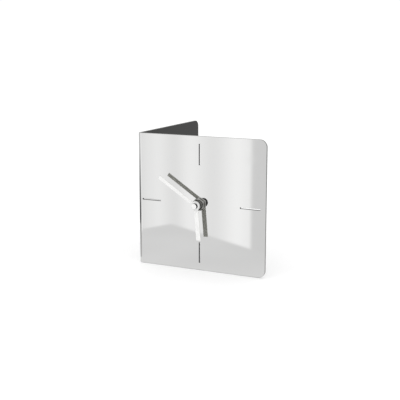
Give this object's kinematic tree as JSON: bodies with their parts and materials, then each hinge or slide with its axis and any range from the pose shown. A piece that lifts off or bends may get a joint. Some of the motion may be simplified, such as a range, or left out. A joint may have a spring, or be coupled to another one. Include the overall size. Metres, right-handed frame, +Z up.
{
  "type": "wall clock",
  "caption": "Analogue clock: a square leaf of polished steel sheet with quarter-hour slots, bar hands and a quartz movement, folded at one edge into a rear leaf that goes on a wall.",
  "frame": {"origin": "middle of the rear leaf's outer face, which goes against a wall", "axes": "+Z is up, the dial faces -Y, and the rear leaf's outer face looks along -X"},
  "size_m": [0.124, 0.1357, 0.12],
  "materials": {
    "polished_steel": "mirror polished stainless sheet",
    "plated_brass": "nickel plated",
    "pin_steel": "ground",
    "lamination_steel": "annealed",
    "copper_wire": "enamelled fine wire",
    "spring_brass": "stamped strip",
    "magnet": "sintered",
    "white_paint": "white satin paint",
    "black_plastic": "fine moulded texture",
    "natural_plastic": "natural acetal",
    "black_rubber": "matt",
    "board_laminate": "solder mask",
    "chip_epoxy": "cast epoxy dome",
    "cell_sleeve": "plain shrink sleeve"
  },
  "bodies": {
    "case": {"folded_case": "polished_steel", "threaded_bush": "plated_brass", "rubber_gasket": "black_rubber", "dial_washer": "plated_brass", "hex_nut": "plated_brass", "movement_front_case": "black_plastic", "movement_back_cover": "black_plastic", "train_bridge": "natural_plastic", "motion_work_pin": "pin_steel", "third_wheel_pin": "pin_steel", "intermediate_wheel_pin": "pin_steel", "rotor_pin": "pin_steel", "stator": "lamination_steel", "coil_core": "lamination_steel", "coil_bobbin": "natural_plastic", "coil_winding": "copper_wire", "circuit_board": "board_laminate", "clock_chip": "chip_epoxy", "quartz_crystal": "pin_steel", "battery_contact_positive": "spring_brass", "battery_contact_negative": "spring_brass"},
    "minute_work": {"minute_hand": "white_paint", "hand_nut": "white_paint", "minute_tube": "black_plastic"},
    "hour_work": {"hour_hand": "white_paint", "hour_wheel": "black_plastic"},
    "motion_work": {"motion_work_wheel": "natural_plastic"},
    "setting_work": {"setting_knob": "black_plastic", "setting_pinion": "natural_plastic"},
    "rotor": {"rotor_magnet": "magnet", "rotor_pinion": "natural_plastic"},
    "intermediate": {"intermediate_wheel": "natural_plastic"},
    "seconds": {"seconds_wheel": "natural_plastic"},
    "third": {"third_wheel": "natural_plastic"},
    "centre": {"centre_wheel": "natural_plastic", "clutch_spring": "spring_brass"},
    "battery": {"battery_cell": "cell_sleeve"}
  },
  "joints": [
    {"name": "minute_hand_turn", "type": "hinge", "parent": "case", "child": "minute_work", "pos_m": [0.062, -0.062, 0], "axis": [0, 1, 0], "continuous": true},
    {"name": "hour_hand_turn", "type": "hinge", "parent": "case", "child": "hour_work", "pos_m": [0.062, -0.062, 0], "axis": [0, 1, 0], "continuous": true},
    {"name": "motion_work_turn", "type": "hinge", "parent": "case", "child": "motion_work", "pos_m": [0.05298, -0.062, -0.00328], "axis": [0, 1, 0], "continuous": true},
    {"name": "setting_knob_turn", "type": "hinge", "parent": "case", "child": "setting_work", "pos_m": [0.04352, -0.062, -0.00162], "axis": [0, 1, 0], "continuous": true},
    {"name": "rotor_turn", "type": "hinge", "parent": "case", "child": "rotor", "pos_m": [0.07882, -0.062, 0.00871], "axis": [0, 1, 0], "continuous": true},
    {"name": "intermediate_wheel_turn", "type": "hinge", "parent": "case", "child": "intermediate", "pos_m": [0.06935, -0.062, 0.00617], "axis": [0, 1, 0], "continuous": true},
    {"name": "seconds_wheel_turn", "type": "hinge", "parent": "case", "child": "seconds", "pos_m": [0.062, -0.062, 0], "axis": [0, 1, 0], "continuous": true},
    {"name": "third_wheel_turn", "type": "hinge", "parent": "case", "child": "third", "pos_m": [0.05693, -0.062, 0.01088], "axis": [0, 1, 0], "continuous": true},
    {"name": "centre_wheel_turn", "type": "hinge", "parent": "case", "child": "centre", "pos_m": [0.062, -0.062, 0], "axis": [0, 1, 0], "continuous": true},
    {"name": "battery_cell_slide", "type": "slide", "parent": "case", "child": "battery", "axis": [0, 1, 0], "range_m": [0, 0.03]}
  ],
  "couplings": [
    {"joint": "hour_hand_turn", "follows": "minute_hand_turn", "ratio": 0.083333},
    {"joint": "motion_work_turn", "follows": "minute_hand_turn", "ratio": -0.33333},
    {"joint": "setting_knob_turn", "follows": "minute_hand_turn", "ratio": 1},
    {"joint": "intermediate_wheel_turn", "follows": "rotor_turn", "ratio": -0.16667},
    {"joint": "seconds_wheel_turn", "follows": "rotor_turn", "ratio": 0.033333},
    {"joint": "third_wheel_turn", "follows": "rotor_turn", "ratio": -0.0044444},
    {"joint": "centre_wheel_turn", "follows": "rotor_turn", "ratio": 0.00055556}
  ]
}
